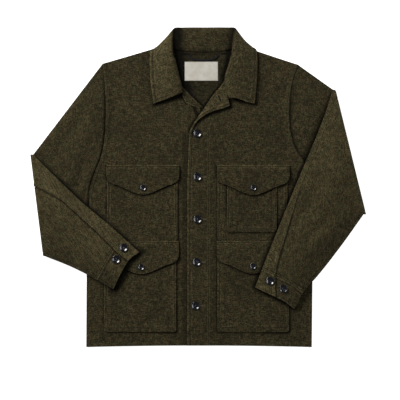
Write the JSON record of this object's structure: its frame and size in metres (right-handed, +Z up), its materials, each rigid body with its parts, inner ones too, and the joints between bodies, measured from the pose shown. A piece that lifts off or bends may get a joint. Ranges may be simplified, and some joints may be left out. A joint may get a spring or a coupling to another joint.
{
  "type": "mackinaw jacket",
  "caption": "Hip-length felted wool work jacket with patch and flap pockets, laid flat on its back with both sleeves folded over at the elbow.",
  "frame": {"origin": "on the surface that the jacket lies on, below the middle of its bounding box", "axes": "+X towards the wearer's left, +Y from the hem to the collar, +Z up from the surface that the jacket lies on"},
  "size_m": [0.871, 0.829, 0.024],
  "materials": {
    "wool": "thick felted wool, heathered dark olive green",
    "collar_wool": "the same felted wool",
    "button": "dark navy, polished, four holes",
    "tape": "dark woven cord",
    "label_cloth": "bare woven linen"
  },
  "bodies": {
    "root": {"back": "wool", "front_right": "wool", "facing_right": "wool", "front_left": "wool", "facing_left": "wool", "pocket_right_chest": "wool", "pocket_right_hip": "wool", "pocket_left_hand": "wool", "pocket_left_patch": "wool", "pocket_left_hip": "wool", "flap_right_chest": "wool", "flap_right_hip": "wool", "flap_left_chest": "wool", "flap_left_hip": "wool", "sleeve_right_upper": "wool", "sleeve_right_under": "wool", "cuff_right": "wool", "sleeve_left_upper": "wool", "sleeve_left_under": "wool", "cuff_left": "wool", "collar_stand": "collar_wool", "collar_fall": "collar_wool", "collar_leaf_right": "collar_wool", "collar_leaf_left": "collar_wool", "button_front_1": "button", "button_front_2": "button", "button_front_3": "button", "button_front_4": "button", "button_front_5": "button", "button_flap_right_chest": "button", "button_flap_right_hip": "button", "button_flap_left_chest": "button", "button_flap_left_hip": "button", "button_cuff_right_1": "button", "button_cuff_right_2": "button", "button_cuff_left_1": "button", "button_cuff_left_2": "button", "hanger_loop": "tape", "label": "label_cloth"}
  },
  "joints": []
}
